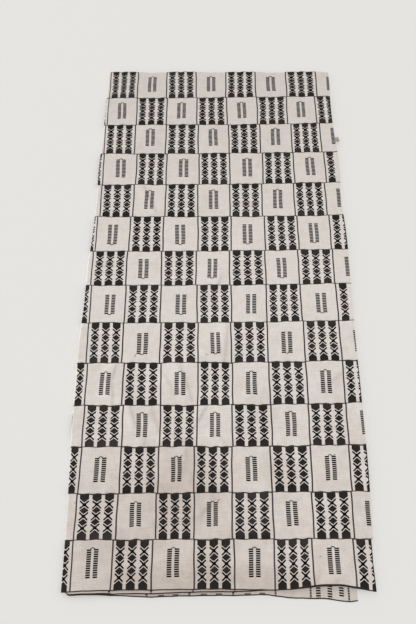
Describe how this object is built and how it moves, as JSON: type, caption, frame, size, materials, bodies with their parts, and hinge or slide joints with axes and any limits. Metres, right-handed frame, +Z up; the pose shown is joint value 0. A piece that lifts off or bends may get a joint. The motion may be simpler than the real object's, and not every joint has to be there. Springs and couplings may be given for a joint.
{
  "type": "mossi cloth",
  "caption": "Long strip-woven cotton wrapper with dark figures in a checker of light cells, folded back and forth in layers and laid flat.",
  "frame": {"origin": "middle of the box around the folded cloth, on the surface that it lies on", "axes": "+Y across the strips towards the far selvedge, along the folded cloth's length; +X along the strips to their loose ends; +Z up"},
  "size_m": [0.6342, 1.4136, 0.0113],
  "materials": {
    "cotton": "matt handwoven cotton, undyed off-white with black and charcoal figures"
  },
  "bodies": {
    "root": {"strip_01": "cotton", "strip_02": "cotton", "strip_03": "cotton", "strip_04": "cotton", "strip_05": "cotton", "strip_06": "cotton", "strip_07": "cotton", "strip_08": "cotton", "strip_09": "cotton", "strip_10": "cotton", "strip_11": "cotton", "strip_12": "cotton", "strip_13": "cotton", "strip_14": "cotton"}
  },
  "joints": []
}
